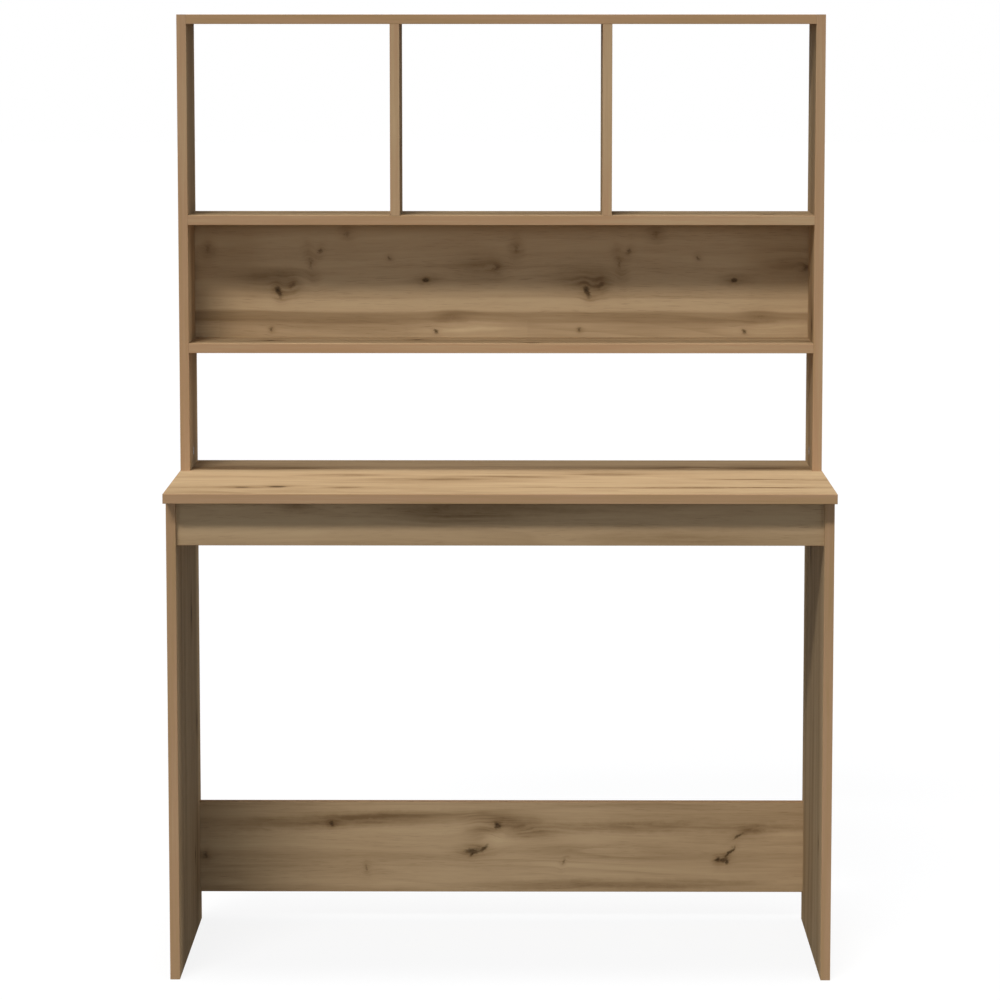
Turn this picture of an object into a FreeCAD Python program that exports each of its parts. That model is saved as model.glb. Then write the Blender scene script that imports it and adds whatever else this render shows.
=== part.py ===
import FreeCAD, Part
import math
import os

from FreeCAD import Vector

# A writing desk with an open shelf hutch, made of wood-decor boards with banded edges.
# Cam fittings and dowels hidden in the boards join them, as on furniture that is packed flat.
# Millimetres. +X is to the sitter's right, +Y is to the wall and +Z is up.
# The origin is on the floor, midway across the desktop's width and depth.

# Desk
desk_width = 1020.0
desk_depth = 450.0
desk_height = 760.0
board_thickness = 15.0
desktop_side_overhang = 1.0
desktop_front_overhang = 40.0
apron_height = 70.0
apron_setback = 8.0
stretcher_height = 150.0
stretcher_ground_gap = 50.0
stretcher_inset = 10.0

# Hutch
hutch_height = 720.0
hutch_depth = 150.0
open_bay_height = 187.5
middle_bay_height = 187.5
back_panel_inset = 10.0

# Edge bands
band_thickness = 1.0
arris_radius = 0.8
widest_arris = 0.9  # share of the band's thickness

# Dowels
dowel_diameter = 8.0
dowel_length = 30.0
dowel_face_depth = 10.0
dowel_chamfer = 1.0

# Cam bolts
bolt_thread_diameter = 6.0
bolt_thread_length = 10.0
bolt_tip_chamfer = 1.2
bolt_collar_diameter = 7.2
bolt_collar_length = 1.5
bolt_shank_diameter = 5.4
bolt_neck_diameter = 4.0
bolt_neck_run_out = 1.5
bolt_head_diameter = 6.8
bolt_head_length = 3.2
bolt_head_chamfer = 0.8
bolt_head_reach = 1.0

# Cam locks
cam_diameter = 14.8
cam_setback = 24.0
cam_floor_thickness = 1.0
cam_face_recess = 0.3
cam_eccentricity = 0.5
cam_turn = 180.0
driver_slot_length = 8.0
driver_slot_width = 1.8
driver_slot_depth = 2.2

# Fits
hole_clearance = 0.15
hole_end_gap = 0.5

# Places of the fittings
leg_front_cam_inset = 60.0
leg_rear_cam_inset = 100.0
leg_dowel_spacing = 60.0
hutch_dowel_spacing = 48.0
apron_cam_rise = 22.0
apron_dowel_rise = 46.0
stretcher_dowel_spacing = 48.0
back_panel_dowel_spacing = 60.0

# Planes of the boards
left = -desk_width / 2
right = desk_width / 2
front = -desk_depth / 2
back = desk_depth / 2
body_half_width = desk_width / 2 - desktop_side_overhang
inner_half_width = body_half_width - board_thickness
side_middle = body_half_width - board_thickness / 2
leg_front = front + desktop_front_overhang
apron_front = leg_front + apron_setback
stretcher_back = back - stretcher_inset
hutch_front = back - hutch_depth
hutch_middle = back - hutch_depth / 2
back_panel_back = back - back_panel_inset

# Levels of the boards
desktop_underside = desk_height - board_thickness
apron_bottom = desktop_underside - apron_height
stretcher_top = stretcher_ground_gap + stretcher_height
lower_shelf_bottom = desk_height + open_bay_height
lower_shelf_top = lower_shelf_bottom + board_thickness
upper_shelf_bottom = lower_shelf_top + middle_bay_height
upper_shelf_top = upper_shelf_bottom + board_thickness
hutch_top = desk_height + hutch_height
top_panel_bottom = hutch_top - board_thickness

# Dividers, one on each hand, that split the width into equal bays
hands = {"left": -1, "right": 1}
top_bay_width = (2 * inner_half_width - len(hands) * board_thickness) / (len(hands) + 1)
divider_middle = top_bay_width / 2 + board_thickness / 2

# Holes and hollows that follow the fittings
dowel_hole_diameter = dowel_diameter + 2 * hole_clearance
thread_hole_diameter = bolt_thread_diameter + 2 * hole_clearance
bolt_bore_diameter = max(bolt_collar_diameter, bolt_head_diameter) + 2 * hole_clearance
cam_pocket_diameter = cam_diameter + 2 * hole_clearance
mouth_radius = bolt_head_diameter / 2 + hole_clearance
chamber_half_height = mouth_radius + hole_clearance
cam_below_axis = chamber_half_height + cam_floor_thickness
cam_above_axis = board_thickness / 2 - cam_face_recess
cam_pocket_depth = board_thickness / 2 + cam_below_axis
head_start = bolt_head_reach - bolt_head_length
chamber_lock_radius = math.hypot(head_start, bolt_head_diameter / 2) + hole_clearance
chamber_radius = chamber_lock_radius + cam_eccentricity
slot_half_height = bolt_neck_diameter / 2 + hole_clearance
slot_overrun = math.degrees(math.asin(slot_half_height / chamber_lock_radius))

same_place = 1e-6
X = Vector(1, 0, 0)
Y = Vector(0, 1, 0)
Z = Vector(0, 0, 1)


def box(low, high):
    """The box between two opposite corners."""
    size = high - low
    return Part.makeBox(size.x, size.y, size.z, low)


class Board:
    """A decor board between two corners. Its banded sides are named by their outward directions."""

    def __init__(self, low, high, banded=""):
        self.low = Vector(*low)
        self.high = Vector(*high)
        self.banded = set(banded.split())
        self.holes = []

    def sides_at(self, point):
        """The names of the sides that a point of the board's skin lies on."""
        found = set()
        for axis in "xyz":
            place = getattr(point, axis)
            if abs(place - getattr(self.low, axis)) < same_place:
                found.add("-" + axis)
            if abs(place - getattr(self.high, axis)) < same_place:
                found.add("+" + axis)
        return found

    def broad_sides(self):
        """The names of the two faces across the board's thickness."""
        size = self.high - self.low
        thin = min("xyz", key=lambda axis: getattr(size, axis))
        return {"-" + thin, "+" + thin}

    def trimmed(self, sides):
        """The board's low and high corners, with the bands' thickness taken off some of its sides."""
        corners = {"-": Vector(self.low), "+": Vector(self.high)}
        for sign, axis in sides:
            inward = band_thickness if sign == "-" else -band_thickness
            setattr(corners[sign], axis, getattr(corners[sign], axis) + inward)
        return corners["-"], corners["+"]

    def drill(self, mouth, direction, diameter, depth):
        """Add a round hole that starts at a point of the board's skin."""
        self.holes.append(Part.makeCylinder(diameter / 2, depth, mouth, direction))

    def core(self):
        """The drilled board without its edge bands."""
        return box(*self.trimmed(self.banded)).cut(self.holes)

    def band(self, side, taken):
        """The edge band of one side, between the bands that are already on the sides taken."""
        low, high = self.trimmed(taken)
        inner_low, inner_high = self.trimmed({side})
        axis = side[1]
        if side[0] == "-":
            setattr(high, axis, getattr(inner_low, axis))
        else:
            setattr(low, axis, getattr(inner_high, axis))
        strip = box(low, high)
        arrises = []
        for edge in strip.Edges:
            sides = self.sides_at(edge.CenterOfMass)
            if side in sides and sides & self.broad_sides():
                arrises.append(edge)
        return strip.makeFillet(min(arris_radius, widest_arris * band_thickness), arrises)

    def bands(self):
        """The edge bands, where those of the long edges run past those of the ends."""
        size = self.high - self.low
        order = sorted(self.banded, key=lambda side: (getattr(size, side[1]), side))
        return [self.band(side, order[:count]) for count, side in enumerate(order)]


def side_board(sign, y_range, z_range, banded):
    """An upright board at the left (sign -1) or right (sign 1) side of the desk."""
    edges = sorted((sign * inner_half_width, sign * body_half_width))
    return Board((edges[0], y_range[0], z_range[0]), (edges[1], y_range[1], z_range[1]), banded)


def cross_board(y_range, z_range, banded=""):
    """A board that spans the width between the two sides."""
    low = (-inner_half_width, y_range[0], z_range[0])
    high = (inner_half_width, y_range[1], z_range[1])
    return Board(low, high, banded)


def shelf(bottom):
    """A board of the hutch that lies flat between its sides."""
    return cross_board((hutch_front, back), (bottom, bottom + board_thickness), "-y +y")


def divider(sign):
    """An upright board between the hutch's top bays."""
    middle = sign * divider_middle
    low = (middle - board_thickness / 2, hutch_front, upper_shelf_top)
    high = (middle + board_thickness / 2, back, top_panel_bottom)
    return Board(low, high, "-y +y")


def placed(shape, origin, along, up):
    """A copy of a shape whose own X and Z axes are turned to along and up, with its origin moved."""
    across = up.cross(along)
    turn = FreeCAD.Matrix(
        along.x, across.x, up.x, origin.x,
        along.y, across.y, up.y, origin.y,
        along.z, across.z, up.z, origin.z,
    )
    copy = shape.copy()
    copy.Placement = FreeCAD.Placement(turn)
    return copy


def dowel():
    """A dowel along X, with the meeting face of the two boards at its origin."""
    pin = Part.makeCylinder(dowel_diameter / 2, dowel_length, X * -dowel_face_depth, X)
    rims = [edge for edge in pin.Edges if isinstance(edge.Curve, Part.Circle)]
    return pin.makeChamfer(dowel_chamfer, rims)


def cam_bolt():
    """A cam bolt along X: thread in the face at X below 0, then collar, shank, neck and head."""
    thread = bolt_thread_diameter / 2
    collar = bolt_collar_diameter / 2
    shank = bolt_shank_diameter / 2
    neck = bolt_neck_diameter / 2
    head = bolt_head_diameter / 2
    shank_end = cam_setback - cam_diameter / 2 - bolt_neck_run_out
    neck_end = cam_setback + head_start
    head_end = cam_setback + bolt_head_reach
    outline = [
        (-bolt_thread_length, 0),
        (-bolt_thread_length, thread - bolt_tip_chamfer),
        (-bolt_thread_length + bolt_tip_chamfer, thread),
        (0, thread),
        (0, collar),
        (bolt_collar_length, collar),
        (bolt_collar_length, shank),
        (shank_end, shank),
        (shank_end, neck),
        (neck_end, neck),
        (neck_end, head),
        (head_end - bolt_head_chamfer, head),
        (head_end, head - bolt_head_chamfer),
        (head_end, 0),
    ]
    points = [Vector(along, radius, 0) for along, radius in outline]
    section = Part.Face(Part.makePolygon(points + points[:1]))
    return section.revolve(Vector(), X, 360)


def cam_lock():
    """A locked cam on the Z axis, with the bolt's axis along X and the bolt coming from the -X side."""
    radius = cam_diameter / 2
    body = Part.makeCylinder(radius, cam_below_axis + cam_above_axis, Z * -cam_below_axis, Z)

    # The eccentric chamber draws the bolt's head in as the cam turns from its mouth to the lock
    chamber_base = X * cam_eccentricity - Z * chamber_half_height
    chamber = Part.makeCylinder(chamber_radius, 2 * chamber_half_height, chamber_base, Z)
    mouth = Part.makeCylinder(mouth_radius, cam_diameter, Vector(), X)

    # The slot lets the bolt's neck pass round the wall, from the mouth to a little past the lock
    slot_points = [
        Vector(0, 0, -slot_half_height),
        Vector(-cam_diameter, 0, -slot_half_height),
        Vector(-cam_diameter, 0, slot_half_height),
        Vector(0, 0, slot_half_height),
    ]
    slot_section = Part.Face(Part.makePolygon(slot_points + slot_points[:1]))
    slot_section.rotate(Vector(), Z, -slot_overrun)
    slot = slot_section.revolve(Vector(), Z, cam_turn + slot_overrun)

    # The cross-shaped recess takes the screwdriver
    half_length = driver_slot_length / 2
    half_width = driver_slot_width / 2
    recess_floor = cam_above_axis - driver_slot_depth
    recesses = []
    for reach_x, reach_y in ((half_length, half_width), (half_width, half_length)):
        low = Vector(-reach_x, -reach_y, recess_floor)
        high = Vector(reach_x, reach_y, cam_above_axis)
        recesses.append(box(low, high))
    return body.cut([chamber, mouth, slot] + recesses)


boards = {
    "desktop": Board(
        (left, front, desktop_underside), (right, back, desk_height), "-y +y -x +x"
    ),
    "front_apron": cross_board(
        (apron_front, apron_front + board_thickness), (apron_bottom, desktop_underside), "-z"
    ),
    "rear_stretcher": cross_board(
        (stretcher_back - board_thickness, stretcher_back),
        (stretcher_ground_gap, stretcher_top),
        "-z +z",
    ),
    "hutch_top_panel": shelf(top_panel_bottom),
    "upper_shelf": shelf(upper_shelf_bottom),
    "lower_shelf": shelf(lower_shelf_bottom),
    "hutch_back_panel": cross_board(
        (back_panel_back - board_thickness, back_panel_back), (lower_shelf_top, upper_shelf_bottom)
    ),
}
for hand, sign in hands.items():
    boards[hand + "_leg_panel"] = side_board(sign, (leg_front, back), (0, desktop_underside), "-y +y")
    boards["hutch_" + hand + "_side"] = side_board(
        sign, (hutch_front, back), (desk_height, hutch_top), "-y +y +z"
    )
    boards[hand + "_divider"] = divider(sign)

fittings = {}
dowel_shape = dowel()
bolt_shape = cam_bolt()
cam_shape = cam_lock()


def add_dowels(group, face_board, edge_board, inward, up, seats):
    """Dowels at seats on the meeting face; inward points from the face board into the edge board."""
    edge_depth = dowel_length - dowel_face_depth
    for seat in seats:
        face_board.drill(seat, -inward, dowel_hole_diameter, dowel_face_depth + hole_end_gap)
        edge_board.drill(seat, inward, dowel_hole_diameter, edge_depth + hole_end_gap)
        fittings.setdefault(group + "_dowels", []).append(placed(dowel_shape, seat, inward, up))


def add_cams(group, face_board, edge_board, inward, up, seats):
    """Cam bolts and locks at seats; the locks' pockets open at the edge board's face towards up."""
    for seat in seats:
        axis = seat + inward * cam_setback
        pocket_mouth = axis + up * (board_thickness / 2)
        face_board.drill(seat, -inward, thread_hole_diameter, bolt_thread_length + hole_end_gap)
        edge_board.drill(seat, inward, bolt_bore_diameter, cam_setback)
        edge_board.drill(pocket_mouth, -up, cam_pocket_diameter, cam_pocket_depth)
        fittings.setdefault(group + "_cam_bolts", []).append(placed(bolt_shape, seat, inward, up))
        fittings.setdefault(group + "_cam_locks", []).append(placed(cam_shape, axis, inward, up))


for hand, sign in hands.items():
    to_middle = X * -sign
    leg = boards[hand + "_leg_panel"]
    side = boards["hutch_" + hand + "_side"]
    upright = boards[hand + "_divider"]

    # Leg under the desktop
    cam_places = (leg_front + leg_front_cam_inset, back - leg_rear_cam_inset)
    dowel_places = (cam_places[0] + leg_dowel_spacing, cam_places[1] - leg_dowel_spacing)
    cams = [Vector(sign * side_middle, y, desktop_underside) for y in cam_places]
    dowels = [Vector(sign * side_middle, y, desktop_underside) for y in dowel_places]
    add_cams("leg", boards["desktop"], leg, -Z, to_middle, cams)
    add_dowels("leg", boards["desktop"], leg, -Z, to_middle, dowels)

    # Apron between the legs
    joint = Vector(sign * inner_half_width, apron_front + board_thickness / 2, apron_bottom)
    add_cams("apron", leg, boards["front_apron"], to_middle, Y, [joint + Z * apron_cam_rise])
    add_dowels("apron", leg, boards["front_apron"], to_middle, Y, [joint + Z * apron_dowel_rise])

    # Stretcher between the legs
    joint = Vector(
        sign * inner_half_width,
        stretcher_back - board_thickness / 2,
        stretcher_ground_gap + stretcher_height / 2,
    )
    dowels = [joint + Z * stretcher_dowel_spacing, joint - Z * stretcher_dowel_spacing]
    add_cams("stretcher", leg, boards["rear_stretcher"], to_middle, Y, [joint])
    add_dowels("stretcher", leg, boards["rear_stretcher"], to_middle, Y, dowels)

    # Hutch side on the desktop
    joint = Vector(sign * side_middle, hutch_middle, desk_height)
    dowels = [joint + Y * hutch_dowel_spacing, joint - Y * hutch_dowel_spacing]
    add_cams("hutch_side", boards["desktop"], side, Z, to_middle, [joint])
    add_dowels("hutch_side", boards["desktop"], side, Z, to_middle, dowels)

    # Top panel and shelves between the hutch sides
    for name in ("hutch_top_panel", "upper_shelf", "lower_shelf"):
        level = boards[name].low.z + board_thickness / 2
        joint = Vector(sign * inner_half_width, hutch_middle, level)
        dowels = [joint + Y * hutch_dowel_spacing, joint - Y * hutch_dowel_spacing]
        add_cams(name, side, boards[name], to_middle, -Z, [joint])
        add_dowels(name, side, boards[name], to_middle, -Z, dowels)

    # Back panel between the hutch sides
    joint = Vector(
        sign * inner_half_width,
        back_panel_back - board_thickness / 2,
        lower_shelf_top + middle_bay_height / 2,
    )
    dowels = [joint + Z * back_panel_dowel_spacing, joint - Z * back_panel_dowel_spacing]
    add_cams("back_panel", side, boards["hutch_back_panel"], to_middle, Y, [joint])
    add_dowels("back_panel", side, boards["hutch_back_panel"], to_middle, Y, dowels)

    # Divider, locked to the top panel and pegged to the upper shelf
    for face_board, level, inward in (
        (boards["hutch_top_panel"], top_panel_bottom, -Z),
        (boards["upper_shelf"], upper_shelf_top, Z),
    ):
        joint = Vector(sign * divider_middle, hutch_middle, level)
        dowels = [joint + Y * hutch_dowel_spacing, joint - Y * hutch_dowel_spacing]
        add_dowels("divider", face_board, upright, inward, X * sign, dowels)
        if inward == -Z:
            add_cams("divider", face_board, upright, inward, X * sign, [joint])

os.makedirs("parts", exist_ok=True)
for name, board in boards.items():
    board.core().exportStep("parts/" + name + ".step")
    if board.banded:
        Part.makeCompound(board.bands()).exportStep("parts/" + name + "_edge_bands.step")
for name, solids in fittings.items():
    Part.makeCompound(solids).exportStep("parts/" + name + ".step")
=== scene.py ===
"""Looks of the desk with shelves: oak decor on the boards, beech and zinc fittings, a white studio."""

import math
from typing import NamedTuple

import bpy
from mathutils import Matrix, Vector

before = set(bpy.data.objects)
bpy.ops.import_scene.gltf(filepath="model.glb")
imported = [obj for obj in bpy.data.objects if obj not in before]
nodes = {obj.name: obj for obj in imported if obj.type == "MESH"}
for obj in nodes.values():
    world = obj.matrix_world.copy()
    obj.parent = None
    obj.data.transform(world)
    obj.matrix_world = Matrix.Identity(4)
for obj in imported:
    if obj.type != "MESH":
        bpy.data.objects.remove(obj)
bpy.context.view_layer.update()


class Noise(NamedTuple):
    """A noise with its cycles per metre along and across the grain."""

    along: float
    across: float
    detail: float
    roughness: float = 0.5
    distortion: float = 0.0


class SoftBox(NamedTuple):
    """A far soft box: the way its light travels, its strength, its spread and its colour."""

    travel: tuple
    strength: float
    spread: float
    colour: tuple = (1.0, 1.0, 1.0)


# Camera: the photograph's view, tilted down with a little shift
camera_place = (0.0320, -5.9675, 1.4723)
camera_tilt = math.radians(6.559)
camera_turn = math.radians(0.318)
camera_lens = 137.97
camera_shift_y = -0.04

# Key light: a fan of suns that makes one wide soft box at the upper left front
key_turn = math.radians(18.8)
key_rise = math.radians(40.4)
key_strength = 1.71
key_suns = 5
key_step = math.radians(5.5)
key_spread = math.radians(7)

# Light from overhead, and low soft boxes all round
overhead = SoftBox((0.0, 0.065, -1.0), 1.97, math.radians(15))
cool_white = (0.97, 1.0, 1.04)
pale_blue = (0.84, 1.0, 1.26)
low_boxes = {
    "front": SoftBox((0.0, 1.0, -0.10), 0.27, math.radians(10), cool_white),
    "front_left": SoftBox((0.64, 0.77, -0.09), 0.18, math.radians(10), pale_blue),
    "front_right": SoftBox((-0.64, 0.77, -0.09), 0.18, math.radians(10), pale_blue),
    "back": SoftBox((0.0, -1.0, -0.025), 1.35, math.radians(2.5)),
    "left": SoftBox((1.0, 0.0, -0.09), 0.95, math.radians(9)),
    "right": SoftBox((-1.0, 0.0, -0.09), 1.25, math.radians(9)),
}

# Sky light on the object, the same all round
sky_strength = 0.19
sky_colour = (0.91, 1.00, 1.15, 1.0)

# Floor: how much light it sends back to the object, and how the camera sees it
floor_bounce = 0.11
floor_colour = 0.94
floor_whiteness = 0.88
floor_size = 80.0
floor_drop = 0.0002

# Axes of the row frame
X, Y, Z = 0, 1, 2


def srgb(red, green, blue):
    """A colour written as 0 to 255 values, as the linear one that nodes take."""
    def linear(value):
        share = value / 255
        if share <= 0.04045:
            return share / 12.92
        return ((share + 0.055) / 1.055) ** 2.4
    return (linear(red), linear(green), linear(blue), 1.0)


# The middle of a noise's values
noise_middle = 0.5

# The mix node's sockets for numbers and for colours: first, second, result
mix_sockets = {"FLOAT": (2, 3, 0), "RGBA": (6, 7, 2)}


class Graph:
    """Makes and links the nodes of one tree. A value given to it is a socket or a constant."""

    def __init__(self, owner):
        owner.use_nodes = True
        self.tree = owner.node_tree
        self.tree.nodes.clear()

    def node(self, kind, **settings):
        made = self.tree.nodes.new(kind)
        for name, value in settings.items():
            setattr(made, name, value)
        return made

    def feed(self, socket, value):
        if isinstance(value, bpy.types.NodeSocket):
            self.tree.links.new(value, socket)
        else:
            socket.default_value = value

    def fill(self, made, *values):
        """The node, with values fed to its first inputs in order."""
        for socket, value in zip(made.inputs, values):
            self.feed(socket, value)
        return made

    def coordinates(self):
        return self.node("ShaderNodeTexCoord").outputs["Object"]

    def facing(self, axis):
        """How squarely the surface faces along an axis, from 0 to 1."""
        normal = self.split(self.node("ShaderNodeNewGeometry").outputs["True Normal"])
        return self.math("ABSOLUTE", normal[axis])

    def math(self, operation, *values):
        return self.fill(self.node("ShaderNodeMath", operation=operation), *values).outputs[0]

    def add(self, first, second):
        return self.math("ADD", first, second)

    def times(self, first, second):
        return self.math("MULTIPLY", first, second)

    def larger(self, first, second):
        return self.math("MAXIMUM", first, second)

    def total(self, start, *parts):
        """start plus the value of each (value, weight) part times its weight."""
        for value, weight in parts:
            start = self.math("MULTIPLY_ADD", value, weight, start)
        return start

    def fade(self, square, rate):
        """1 in the middle of a mark, falling off with the square of the distance."""
        return self.math("EXPONENT", self.times(square, rate))

    def centred(self, noise):
        return self.add(noise, -noise_middle)

    def split(self, vector):
        return self.fill(self.node("ShaderNodeSeparateXYZ"), vector).outputs

    def join(self, x, y, z=0.0):
        return self.fill(self.node("ShaderNodeCombineXYZ"), x, y, z).outputs[0]

    def vector(self, operation, *values):
        return self.fill(self.node("ShaderNodeVectorMath", operation=operation), *values).outputs

    def stretch(self, vector, scale, offset=(0.0, 0.0, 0.0)):
        return self.vector("MULTIPLY_ADD", vector, scale, offset)["Vector"]

    def noise(self, place, detail, roughness=0.5, distortion=0.0, output="Fac"):
        made = self.node("ShaderNodeTexNoise")
        self.feed(made.inputs["Vector"], place)
        made.inputs["Scale"].default_value = 1.0
        made.inputs["Detail"].default_value = detail
        made.inputs["Roughness"].default_value = roughness
        made.inputs["Distortion"].default_value = distortion
        return made.outputs[output]

    def grain(self, kind, u, v, depth=0.0, breadth=1.0, output="Fac"):
        """A noise along u and across v. breadth widens it, and depth tells layers and boards apart."""
        place = self.join(self.times(u, kind.along), self.times(v, kind.across / breadth), depth)
        return self.noise(place, kind.detail, kind.roughness, kind.distortion, output)

    def even_noise(self, place, cells, detail, roughness=0.5):
        """A noise that has the same cycles per metre every way."""
        return self.noise(self.stretch(place, (cells, cells, cells)), detail, roughness)

    def span(self, value, low, high, to_low=0.0, to_high=1.0, shape="SMOOTHSTEP"):
        made = self.node("ShaderNodeMapRange", interpolation_type=shape)
        return self.fill(made, value, low, high, to_low, to_high).outputs[0]

    def ramp(self, value, stops):
        made = self.node("ShaderNodeValToRGB")
        elements = made.color_ramp.elements
        while len(elements) < len(stops):
            elements.new(1.0)
        for element, (place, colour) in zip(elements, stops):
            element.position = place
            element.color = colour
        return self.fill(made, value).outputs[0]

    def mix(self, share, first, second, kind="RGBA"):
        made = self.node("ShaderNodeMix", data_type=kind)
        first_place, second_place, result_place = mix_sockets[kind]
        self.feed(made.inputs["Factor"], share)
        self.feed(made.inputs[first_place], first)
        self.feed(made.inputs[second_place], second)
        return made.outputs[result_place]

    def mix_shader(self, share, first, second):
        return self.fill(self.node("ShaderNodeMixShader"), share, first, second).outputs[0]

    def bump(self, height, strength, distance):
        made = self.node("ShaderNodeBump")
        made.inputs["Strength"].default_value = strength
        made.inputs["Distance"].default_value = distance
        self.feed(made.inputs["Height"], height)
        return made.outputs[0]


def new_material(name):
    """A material, its graph, and its surface shader."""
    material = bpy.data.materials.new(name)
    graph = Graph(material)
    shader = graph.node("ShaderNodeBsdfPrincipled")
    output = graph.node("ShaderNodeOutputMaterial")
    graph.feed(output.inputs["Surface"], shader.outputs[0])
    return material, graph, shader


def wear(node_name, material):
    """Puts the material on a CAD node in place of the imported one."""
    mesh = nodes[node_name].data
    mesh.materials.clear()
    mesh.materials.append(material)


# Oak decor: tones from dark growth to pale wood, and a board's usual place on that scale
oak_tones = (
    (0.00, srgb(124, 97, 67)),
    (0.28, srgb(157, 129, 94)),
    (0.50, srgb(180, 151, 114)),
    (0.74, srgb(195, 167, 128)),
    (1.00, srgb(210, 184, 145)),
)
oak_tone = 0.52
knot_dark = srgb(44, 33, 22)
knot_brown = srgb(88, 66, 43)
pore_colour = srgb(110, 84, 56)
oak_gloss = 0.025
board_roughness = 0.77
band_roughness = 0.72

# Oak grain, from the broadest layer to the finest, and the noises that make knots ragged
oak_noises = {
    "wave": Noise(1.7, 5.0, 2.0),
    "plank": Noise(0.30, 17.0, 1.0),
    "growth": Noise(0.9, 10.0, 1.0),
    "cloud": Noise(4.0, 11.0, 3.0, 0.6),
    "figure": Noise(2.4, 36.0, 4.0, 0.62, 0.7),
    "streak": Noise(7.0, 190.0, 3.0, 0.6),
    "tear": Noise(8.0, 230.0, 3.0, 0.65),
    "fibre": Noise(14.0, 330.0, 3.0, 0.6),
    "pore": Noise(38.0, 1100.0, 1.0),
    "ragged": Noise(60.0, 95.0, 3.0, 0.6),
    "speck": Noise(240.0, 330.0, 4.0, 0.65),
}
layer_weights = {"plank": 0.80, "figure": 0.75, "cloud": 0.32, "streak": 0.22, "fibre": 0.22}
wave_reach = 0.024
change_with_depth = 30.0
change_with_seed = 2.3

# Growth rings: how many to the metre, their sway, where each darkens and ends, and where they show
growth_rate = 26.0
growth_sway = 11.0
ring_rise = (0.45, 0.95)
ring_end = (1.0, 0.95)
ring_clouds = (0.40, 0.62)
ring_weight = -0.14

# Pores, which are left out of the dark figure
pore_edge = (0.60, 0.72)
pore_figure = (0.62, 0.42)
pore_cover = 0.35

# Knots: how their cores and shades fade, how they push the grain aside and how ragged they are
core_fade = -0.55
mark_fade = -0.22
mark_push = -0.50
ragged_reach = (0.014, 0.010, 0.0)
speck_share = 0.75
core_edge = (0.28, 0.92)
core_cover = 0.86
core_speckle = (0.35, 0.65)

# How streaks break up the shade of marks: from and to of the noise, then of the shade
shade_streaks = (0.30, 0.70, 0.55, 1.4)
shade_tears = (0.36, 0.64, 0.10, 1.90)

# Random knots: one in some of the cells of a pattern, with its size as a share of a cell
knot_cells = (4.6, 8.2, 0.0)
knot_cell_shift = Vector((3.7, 1.9, 0.0))
knot_chance = 0.30
knot_sizes = (0.025, 0.070)
knot_fade = -0.16
knot_push = -0.09
knot_core = 0.85
knot_shade = 0.35

# Relief of the boards and bands
fibre_relief = 0.35
pore_relief = -0.8
core_relief = -0.5
board_bump = (0.35, 0.0002)
band_bump = (0.25, 0.0002)

# How much fibres, pores and raw chipboard roughen the boards, and fibres the bands
fibre_roughness = 0.10
pore_roughness = 0.12
raw_roughness = 0.25
band_fibre_roughness = 0.12

# Chipboard core, seen on unbanded ends and in the bored holes
chip_tones = (
    (0.0, srgb(118, 92, 62)),
    (0.5, srgb(166, 136, 98)),
    (1.0, srgb(206, 180, 140)),
)
chip_cells = 420.0
broad_face = 0.5

# Planks in the decor have edges this soft
plank_blur = 0.003

# Edge bands are a little warmer than the board faces
band_tones = (
    (0.00, srgb(145, 111, 75)),
    (0.30, srgb(169, 136, 97)),
    (0.50, srgb(175, 139, 104)),
    (0.70, srgb(180, 150, 113)),
    (1.00, srgb(195, 164, 127)),
)
band_tint = Noise(2.6, 30.0, 2.0)
band_streak = Noise(5.0, 210.0, 3.0, 0.6, 0.3)
band_fibre = Noise(22.0, 900.0, 2.0)
band_tint_weight = 0.75
band_streak_weight = 0.60
band_fibre_weight = 0.25
band_change_with_cap = 4.0
band_change_with_seed = 1.7
cap_face = 0.6


def oak_marks(graph, place, marks):
    """Knots and streaks at given places: their dark cores, their shade and their push on the grain.

    Each mark is (along, across, half length, half width, turn in degrees, core depth, shade)."""
    core = 0.0
    shade = 0.0
    push = 0.0
    for along, across, half_length, half_width, turn, depth, dark in marks:
        local = graph.node("ShaderNodeMapping", vector_type="TEXTURE")
        graph.feed(local.inputs["Vector"], place)
        local.inputs["Location"].default_value = (along, across, 0.0)
        local.inputs["Rotation"].default_value = (0.0, 0.0, math.radians(turn))
        local.inputs["Scale"].default_value = (half_length, half_width, 1.0)
        inside = local.outputs[0]
        square = graph.vector("DOT_PRODUCT", inside, inside)["Value"]
        if depth > 0.0:
            core = graph.larger(core, graph.times(graph.fade(square, core_fade), depth))
        wide = graph.fade(square, mark_fade)
        aside = graph.times(graph.split(inside)[Y], wide)
        shade = graph.total(shade, (wide, dark))
        push = graph.total(push, (aside, mark_push * half_width))
    return core, shade, push


def random_knots(graph, place, seed):
    """A few small knots at random places, for the faces whose marks the photograph doesn't show."""
    cells = graph.stretch(place, knot_cells, knot_cell_shift * seed)
    made = graph.node("ShaderNodeTexVoronoi", voronoi_dimensions="2D", feature="F1")
    graph.feed(made.inputs["Vector"], cells)
    made.inputs["Scale"].default_value = 1.0
    chance = graph.split(made.outputs["Color"])
    kept = graph.math("LESS_THAN", chance[X], knot_chance)
    size = graph.span(chance[Y], 0.0, 1.0, *knot_sizes, shape="LINEAR")
    reach = graph.math("DIVIDE", made.outputs["Distance"], size)
    square = graph.times(reach, reach)
    core = graph.times(kept, graph.fade(square, core_fade))
    wide = graph.times(kept, graph.fade(square, knot_fade))
    offset = graph.vector("SUBTRACT", cells, made.outputs["Position"])["Vector"]
    push = graph.times(graph.split(offset)[Y], graph.times(wide, knot_push))
    return graph.times(core, knot_core), graph.times(wide, knot_shade), push


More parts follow.
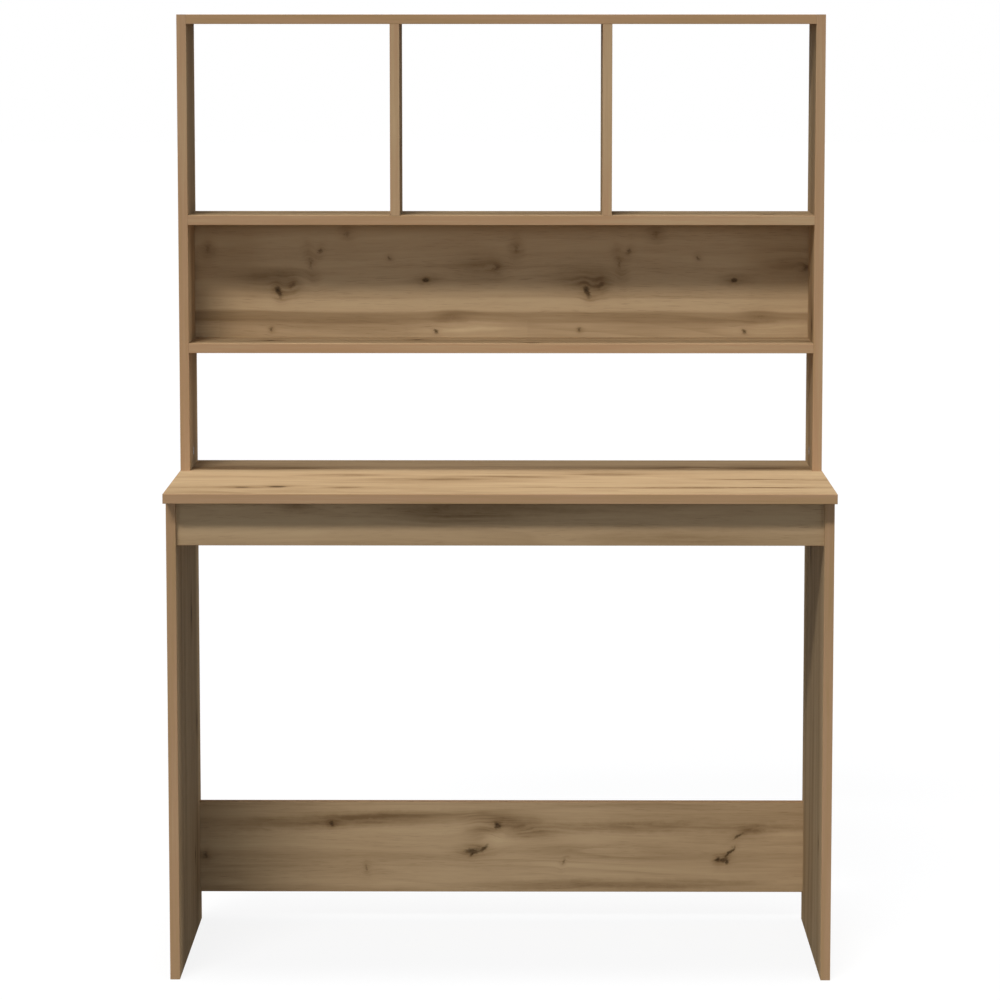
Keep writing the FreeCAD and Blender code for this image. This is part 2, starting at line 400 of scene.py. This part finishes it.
def chipboard(graph, coordinates):
    """The colour of pressed chips."""
    made = graph.node("ShaderNodeTexVoronoi")
    graph.feed(made.inputs["Vector"], coordinates)
    made.inputs["Scale"].default_value = chip_cells
    return graph.ramp(graph.split(made.outputs["Color"])[X], chip_tones)


def oak_board(name, along, across, through, seed,
              marks=(), planks=(), repeat=None, breadth=1.0, contrast=0.9, level=oak_tone):
    """Oak decor with its grain along one axis of the row frame. through is the board's thin axis.

    planks are (low, high, tone change) stripes across the board: tones of the decor, and a lighter stripe
    that is painted light, standing in for fill light where a shadow falls. The marks come again past the
    ends of repeat. A board with no marks gets random knots. breadth widens the figure, contrast sets how
    strong it is, and level is the board's place on the scale of tones."""
    material, graph, shader = new_material(name)
    coordinates = graph.coordinates()
    axes = graph.split(coordinates)
    u = axes[along]
    v = axes[across]

    # Knots and streaks with ragged outlines
    printed = u
    if repeat:
        printed = graph.math("WRAP", u, repeat[1], repeat[0])
    warp = graph.grain(oak_noises["ragged"], printed, v, output="Color")
    ragged = graph.vector("SUBTRACT", warp, (noise_middle, noise_middle, noise_middle))["Vector"]
    place = graph.stretch(ragged, ragged_reach, graph.join(printed, v))
    if marks:
        near, shade, push = oak_marks(graph, place, marks)
    else:
        near, shade, push = random_knots(graph, place, seed)
    speck = graph.grain(oak_noises["speck"], printed, v)
    core = graph.span(graph.total(near, (graph.centred(speck), speck_share)), *core_edge)

    # Slow waves in the grain, and the grain pushed round the knots
    wave = graph.grain(oak_noises["wave"], u, v, seed)
    bent = graph.total(graph.add(v, push), (graph.centred(wave), wave_reach))
    deep = graph.total(seed * change_with_seed, (axes[through], change_with_depth))

    def drawn(kind, widened=breadth):
        """One of the noises, along the bent grain."""
        return graph.grain(oak_noises[kind], u, bent, deep, widened)

    # Broad planks, growth figure, clouds, streaks, fibres and pores
    layers = {kind: drawn(kind) for kind in ("plank", "figure", "streak", "fibre")}
    layers["cloud"] = graph.grain(oak_noises["cloud"], u, v, deep)
    pores = graph.span(drawn("pore", widened=1.0), *pore_edge)
    pores = graph.times(pores, graph.span(layers["figure"], *pore_figure))

    # Growth rings
    growth = graph.total(graph.times(bent, growth_rate / breadth), (drawn("growth"), growth_sway))
    ring = graph.math("FRACT", growth)
    rings = graph.times(graph.span(ring, *ring_rise), graph.span(ring, *ring_end))
    rings = graph.times(rings, graph.span(layers["cloud"], *ring_clouds))

    # Shade of the marks, torn into fine streaks where the figure is widened
    if breadth > 1.0:
        shade = graph.times(shade, graph.span(drawn("tear", widened=1.0), *shade_tears))
    else:
        shade = graph.times(shade, graph.span(layers["streak"], *shade_streaks))

    tone = graph.total(level, (shade, -1.0), (rings, ring_weight * contrast))
    for kind, weight in layer_weights.items():
        tone = graph.total(tone, (graph.centred(layers[kind]), weight * contrast))
    # Stripes of tone across the board; a lighter one among them is painted light, standing in for fill
    # light where a shadow falls
    for low, high, change in planks:
        rise = graph.span(bent, low - plank_blur, low + plank_blur)
        fall = graph.span(bent, high - plank_blur, high + plank_blur, 1.0, 0.0)
        tone = graph.total(tone, (graph.times(rise, fall), change))

    colour = graph.ramp(tone, oak_tones)
    colour = graph.mix(graph.times(pores, pore_cover), colour, pore_colour)
    knot = graph.mix(graph.span(speck, *core_speckle), knot_dark, knot_brown)
    colour = graph.mix(graph.times(core, core_cover), colour, knot)

    # Chipboard where the surface isn't one of the two broad faces
    raw = graph.math("LESS_THAN", graph.facing(through), broad_face)
    colour = graph.mix(raw, colour, chipboard(graph, coordinates))

    fibre = layers["fibre"]
    rough = graph.total(
        board_roughness, (fibre, fibre_roughness), (pores, pore_roughness), (raw, raw_roughness)
    )
    relief = graph.total(0.0, (fibre, fibre_relief), (pores, pore_relief), (core, core_relief))
    graph.feed(shader.inputs["Base Color"], colour)
    graph.feed(shader.inputs["Roughness"], rough)
    shader.inputs["Specular IOR Level"].default_value = oak_gloss
    graph.feed(shader.inputs["Normal"], graph.bump(relief, *board_bump))
    wear(name, material)


def oak_band(board, lengthways, cap_axis, cap_lengthways, thick, level, seed):
    """Edge band in the board's decor: plain grain that runs along each strip.

    The strips whose faces look along cap_axis run along cap_lengthways, and the others along lengthways.
    level is the band's place on the scale of tones."""
    name = board + "_edge_bands"
    material, graph, shader = new_material(name)
    axes = graph.split(graph.coordinates())
    cap = graph.math("GREATER_THAN", graph.facing(cap_axis), cap_face)
    u = graph.mix(cap, axes[lengthways], axes[cap_lengthways], "FLOAT")
    v = axes[thick]
    deep = graph.total(seed * band_change_with_seed, (cap, band_change_with_cap))
    tint = graph.grain(band_tint, u, v, deep)
    streak = graph.grain(band_streak, u, v, deep)
    fibre = graph.grain(band_fibre, u, v, deep)
    tone = graph.total(
        level,
        (graph.centred(tint), band_tint_weight),
        (graph.centred(streak), band_streak_weight),
        (graph.centred(fibre), band_fibre_weight),
    )
    rough = graph.total(band_roughness, (fibre, band_fibre_roughness))
    graph.feed(shader.inputs["Base Color"], graph.ramp(tone, band_tones))
    graph.feed(shader.inputs["Roughness"], rough)
    shader.inputs["Specular IOR Level"].default_value = oak_gloss
    graph.feed(shader.inputs["Normal"], graph.bump(streak, *band_bump))
    wear(name, material)


# Knots and streaks that the photograph shows (metres)
desktop_marks = (
    (-0.342, -0.133, 0.014, 0.0090, 6, 1.00, 0.30),
    (-0.396, -0.140, 0.013, 0.0065, 0, 0.78, 0.34),
    (-0.240, -0.142, 0.012, 0.0050, 0, 0.20, 0.34),
    (-0.250, 0.020, 0.030, 0.0060, 0, 0.00, 0.30),
    (-0.118, -0.033, 0.045, 0.0085, 0, 0.00, 0.34),
    (0.020, 0.000, 0.060, 0.0070, 0, 0.00, 0.30),
    (0.160, 0.030, 0.030, 0.0090, 0, 0.00, 0.30),
    (0.270, -0.142, 0.070, 0.0050, 1, 0.30, 0.42),
    (0.400, -0.142, 0.050, 0.0050, 0, 0.00, 0.34),
    (0.460, -0.036, 0.060, 0.0050, 0, 0.40, 0.45),
    (-0.400, 0.110, 0.060, 0.0120, 0, 0.00, 0.40),
    (0.370, 0.120, 0.090, 0.0120, 0, 0.00, 0.40),
)
apron_marks = (
    (-0.072, 0.732, 0.045, 0.0110, 0, 0.20, 0.38),
    (0.030, 0.735, 0.080, 0.0070, 0, 0.00, 0.20),
    (-0.312, 0.738, 0.013, 0.0045, 0, 0.40, 0.32),
    (0.320, 0.694, 0.040, 0.0060, 0, 0.00, 0.18),
    (0.240, 0.684, 0.050, 0.0040, 0, 0.00, 0.14),
    (0.240, 0.735, 0.050, 0.0040, 0, 0.00, 0.14),
)
stretcher_marks = (
    (-0.046, 0.118, 0.014, 0.0050, 8, 0.90, 0.30),
    (-0.048, 0.1135, 0.0050, 0.0024, 50, 0.95, 0.06),
    (-0.028, 0.124, 0.010, 0.0030, 35, 0.90, 0.10),
    (-0.036, 0.142, 0.011, 0.0120, 0, 0.00, 0.20),
    (-0.006, 0.161, 0.0055, 0.0055, 0, 1.05, 0.22),
    (0.026, 0.158, 0.028, 0.0085, -8, 0.00, 0.40),
    (-0.010, 0.139, 0.016, 0.0060, 30, 0.00, -0.22),
    (0.355, 0.1050, 0.0042, 0.0038, 0, 1.00, 0.24),
    (0.364, 0.1035, 0.0060, 0.0040, 10, 0.85, 0.22),
    (0.368, 0.1005, 0.0058, 0.0022, -70, 0.90, 0.08),
    (0.374, 0.1155, 0.0125, 0.0022, 51, 1.00, 0.12),
    (0.388, 0.143, 0.010, 0.0026, 30, 0.80, 0.15),
    (0.412, 0.150, 0.014, 0.0060, 0, 0.15, 0.18),
    (-0.278, 0.164, 0.0045, 0.0035, 0, 0.90, 0.20),
    (-0.485, 0.111, 0.0055, 0.0060, 0, 0.70, 0.25),
    (-0.221, 0.090, 0.0025, 0.0055, 0, 0.60, 0.15),
    (0.103, 0.101, 0.0028, 0.0075, -25, 0.60, 0.12),
    (-0.235, 0.171, 0.095, 0.0050, 3, 0.00, 0.38),
    (0.200, 0.158, 0.070, 0.0045, 0, 0.00, 0.32),
    (0.455, 0.158, 0.045, 0.0040, 0, 0.00, 0.30),
    (0.230, 0.062, 0.130, 0.0045, 0, 0.00, 0.28),
)
back_repeat = (-0.455, 0.042)
back_marks = (
    (-0.359, 1.036, 0.0050, 0.0090, 16, 1.00, 0.22),
    (-0.337, 1.046, 0.0060, 0.0085, -25, 0.56, 0.26),
    (-0.368, 1.055, 0.0220, 0.0085, 0, 0.10, 0.36),
    (-0.121, 1.055, 0.0046, 0.0034, 0, 1.00, 0.08),
    (-0.120, 1.055, 0.0120, 0.0046, 0, 0.25, 0.26),
    (-0.180, 1.090, 0.0035, 0.0045, 0, 0.64, 0.18),
    (-0.291, 1.101, 0.0032, 0.0060, -20, 0.68, 0.18),
    (-0.307, 1.083, 0.0045, 0.0150, 10, 0.52, 0.18),
    (0.024, 1.106, 0.0055, 0.0090, 0, 0.52, 0.25),
    (-0.249, 1.129, 0.0070, 0.0080, 0, 0.50, 0.20),
    (-0.371, 0.975, 0.0030, 0.0032, 0, 0.70, 0.18),
    (-0.105, 0.972, 0.0038, 0.0038, 0, 0.85, 0.18),
    (-0.082, 0.995, 0.0140, 0.0060, 0, 0.40, 0.12),
    (-0.009, 1.075, 0.0055, 0.0070, 30, 0.58, 0.20),
    (-0.038, 1.077, 0.0200, 0.0100, 0, 0.00, 0.22),
    (-0.060, 0.977, 0.0350, 0.0060, 0, 0.00, -0.26),
)
# Stripes across the back panel (low, high, tone change): the first two are tones of the decor, and the
# third, lighter one is painted light, standing in for fill light where the upper shelf's shadow falls
back_planks_and_painted_light = (
    (1.004, 1.025, 0.19),
    (0.986, 1.003, -0.13),
    (1.028, 1.160, 0.10),
)

# Boards: name, grain axis, cross axis, thin axis, seed, and how the decor departs from the usual
boards = (
    ("desktop", X, Y, Z, 1.0, {"marks": desktop_marks, "breadth": 2.2, "contrast": 0.85}),
    ("front_apron", X, Z, Y, 2.0, {"marks": apron_marks, "contrast": 0.55, "level": 0.50}),
    ("rear_stretcher", X, Z, Y, 3.0, {"marks": stretcher_marks, "contrast": 0.75, "level": 0.47}),
    ("hutch_back_panel", X, Z, Y, 4.0,
     {"marks": back_marks, "planks": back_planks_and_painted_light, "repeat": back_repeat, "contrast": 0.60, "level": 0.45}),
    ("hutch_top_panel", X, Y, Z, 5.0, {}),
    ("upper_shelf", X, Y, Z, 6.0, {}),
    ("lower_shelf", X, Y, Z, 7.0, {}),
    ("left_leg_panel", Z, Y, X, 8.0, {}),
    ("right_leg_panel", Z, Y, X, 9.0, {}),
    ("hutch_left_side", Z, Y, X, 10.0, {}),
    ("hutch_right_side", Z, Y, X, 11.0, {}),
    ("left_divider", Z, Y, X, 12.0, {}),
    ("right_divider", Z, Y, X, 13.0, {}),
)
for *board, options in boards:
    oak_board(*board, **options)

# Edge bands: board, long axis, axis that other strips face, their long axis, thin axis of the board, tone
banded = (
    ("desktop", X, X, Y, Z, 0.40),
    ("front_apron", X, Y, X, Y, 0.45),
    ("rear_stretcher", X, Y, X, Y, 0.45),
    ("hutch_top_panel", X, Z, X, Z, 0.42),
    ("upper_shelf", X, Z, X, Z, 0.50),
    ("lower_shelf", X, Z, X, Z, 0.60),
    ("left_leg_panel", Z, X, Z, X, 0.40),
    ("right_leg_panel", Z, X, Z, X, 0.40),
    ("hutch_left_side", Z, Z, Y, X, 0.48),
    ("hutch_right_side", Z, Z, Y, X, 0.50),
    ("left_divider", Z, X, Z, X, 0.60),
    ("right_divider", Z, X, Z, X, 0.64),
)
for seed, band in enumerate(banded):
    oak_band(*band, seed)

# Beech of the dowels: cells per metre of its flecks and clouds, their shares in the tone, and the tones
beech_fleck_cells = 700.0
beech_cloud_cells = 60.0
beech_fleck_share = 0.6
beech_cloud_share = 0.4
beech_tones = (
    (0.30, srgb(176, 134, 92)),
    (0.50, srgb(206, 168, 124)),
    (0.70, srgb(222, 190, 150)),
)
beech_roughness = (0.3, 0.7, 0.55, 0.75)
beech_bump = (0.3, 0.0002)

# Zinc: cells per metre of its patches, the span of the noises that counts, and its relief
zinc_patch_cells = 260.0
zinc_span = (0.30, 0.70)
zinc_bump = (0.25, 0.0001)


def beech():
    """Plain beech."""
    material, graph, shader = new_material("beech_dowel")
    coordinates = graph.coordinates()
    fleck = graph.even_noise(coordinates, beech_fleck_cells, detail=3.0, roughness=0.6)
    cloud = graph.even_noise(coordinates, beech_cloud_cells, detail=2.0)
    tone = graph.total(0.0, (fleck, beech_fleck_share), (cloud, beech_cloud_share))
    graph.feed(shader.inputs["Base Color"], graph.ramp(tone, beech_tones))
    graph.feed(shader.inputs["Roughness"], graph.span(fleck, *beech_roughness))
    graph.feed(shader.inputs["Normal"], graph.bump(fleck, *beech_bump))
    return material


def zinc(name, dark, bright, smooth, rough, skin_cells):
    """Zinc between two tones and two roughnesses."""
    material, graph, shader = new_material(name)
    coordinates = graph.coordinates()
    patch = graph.even_noise(coordinates, zinc_patch_cells, detail=3.0, roughness=0.6)
    skin = graph.even_noise(coordinates, skin_cells, detail=2.0)
    graph.feed(shader.inputs["Base Color"], graph.ramp(patch, tuple(zip(zinc_span, (dark, bright)))))
    graph.feed(shader.inputs["Roughness"], graph.span(skin, *zinc_span, smooth, rough))
    shader.inputs["Metallic"].default_value = 1.0
    graph.feed(shader.inputs["Normal"], graph.bump(skin, *zinc_bump))
    return material


# Bright plating on the bolts, and the duller skin of a casting on the locks
fitting_finishes = {
    "_dowels": beech(),
    "_cam_bolts": zinc("zinc_plated_steel", srgb(172, 174, 176), srgb(206, 208, 210), 0.18, 0.34, 1500.0),
    "_cam_locks": zinc("cast_zinc", srgb(122, 123, 124), srgb(164, 165, 166), 0.46, 0.66, 2600.0),
}
for node_name in nodes:
    for ending, finish in fitting_finishes.items():
        if node_name.endswith(ending):
            wear(node_name, finish)


def seen_directly(graph):
    """1 for rays from the camera, off gloss and through glass, and 0 for the light on the object."""
    path = graph.node("ShaderNodeLightPath").outputs
    sharp = graph.larger(path["Is Glossy Ray"], path["Is Transmission Ray"])
    return graph.larger(path["Is Camera Ray"], sharp)


def grey_diffuse(graph, value):
    """A matt shader of one grey."""
    made = graph.node("ShaderNodeBsdfDiffuse")
    made.inputs["Color"].default_value = (value, value, value, 1.0)
    return made.outputs[0]


def make_floor():
    """A plain pale floor that keeps a faint shadow, and sends little light back to the object."""
    reach = floor_size / 2
    corners = [(-reach, -reach, 0.0), (reach, -reach, 0.0), (reach, reach, 0.0), (-reach, reach, 0.0)]
    mesh = bpy.data.meshes.new("floor")
    mesh.from_pydata(corners, [], [(0, 1, 2, 3)])
    floor = bpy.data.objects.new("floor", mesh)
    floor.location = (0.0, 0.0, -floor_drop)
    bpy.context.scene.collection.objects.link(floor)
    material = bpy.data.materials.new("floor")
    graph = Graph(material)
    white = graph.node("ShaderNodeEmission").outputs[0]
    shown = graph.mix_shader(floor_whiteness, grey_diffuse(graph, floor_colour), white)
    surface = graph.mix_shader(seen_directly(graph), grey_diffuse(graph, floor_bounce), shown)
    graph.feed(graph.node("ShaderNodeOutputMaterial").inputs["Surface"], surface)
    mesh.materials.append(material)


def make_sky():
    """White where it is seen, and a soft light on the object."""
    world = bpy.data.worlds.new("studio")
    bpy.context.scene.world = world
    graph = Graph(world)
    light = graph.node("ShaderNodeBackground")
    light.inputs["Color"].default_value = sky_colour
    light.inputs["Strength"].default_value = sky_strength
    white = graph.node("ShaderNodeBackground")
    white.inputs["Color"].default_value = (1.0, 1.0, 1.0, 1.0)
    surface = graph.mix_shader(seen_directly(graph), light.outputs[0], white.outputs[0])
    graph.feed(graph.node("ShaderNodeOutputWorld").inputs["Surface"], surface)


def add_sun(name, box, glare=True):
    """A sun lamp as a far soft box. Without glare it makes no highlights."""
    data = bpy.data.lights.new(name, "SUN")
    data.energy = box.strength
    data.angle = box.spread
    data.color = box.colour
    lamp = bpy.data.objects.new(name, data)
    lamp.rotation_euler = Vector(box.travel).to_track_quat("-Z", "Y").to_euler()
    lamp.visible_glossy = glare
    bpy.context.scene.collection.objects.link(lamp)


def make_lamps():
    """The key's fan, the overhead light, and the low boxes without highlights."""
    middle = (key_suns - 1) / 2
    level = math.cos(key_rise)
    for place in range(key_suns):
        turn = key_turn + (place - middle) * key_step
        travel = (math.sin(turn) * level, math.cos(turn) * level, -math.sin(key_rise))
        add_sun(f"key_{place}", SoftBox(travel, key_strength / key_suns, key_spread))
    add_sun("overhead", overhead)
    for name, box in low_boxes.items():
        add_sun(name, box, glare=False)


def make_camera():
    """The camera, looking along +Y and tilted down."""
    data = bpy.data.cameras.new("camera")
    data.lens = camera_lens
    data.shift_y = camera_shift_y
    camera = bpy.data.objects.new("camera", data)
    camera.location = camera_place
    camera.rotation_euler = (math.pi / 2 - camera_tilt, 0.0, camera_turn)
    bpy.context.scene.collection.objects.link(camera)
    bpy.context.scene.camera = camera


make_floor()
make_sky()
make_lamps()
make_camera()
bpy.context.scene.view_settings.view_transform = "Standard"
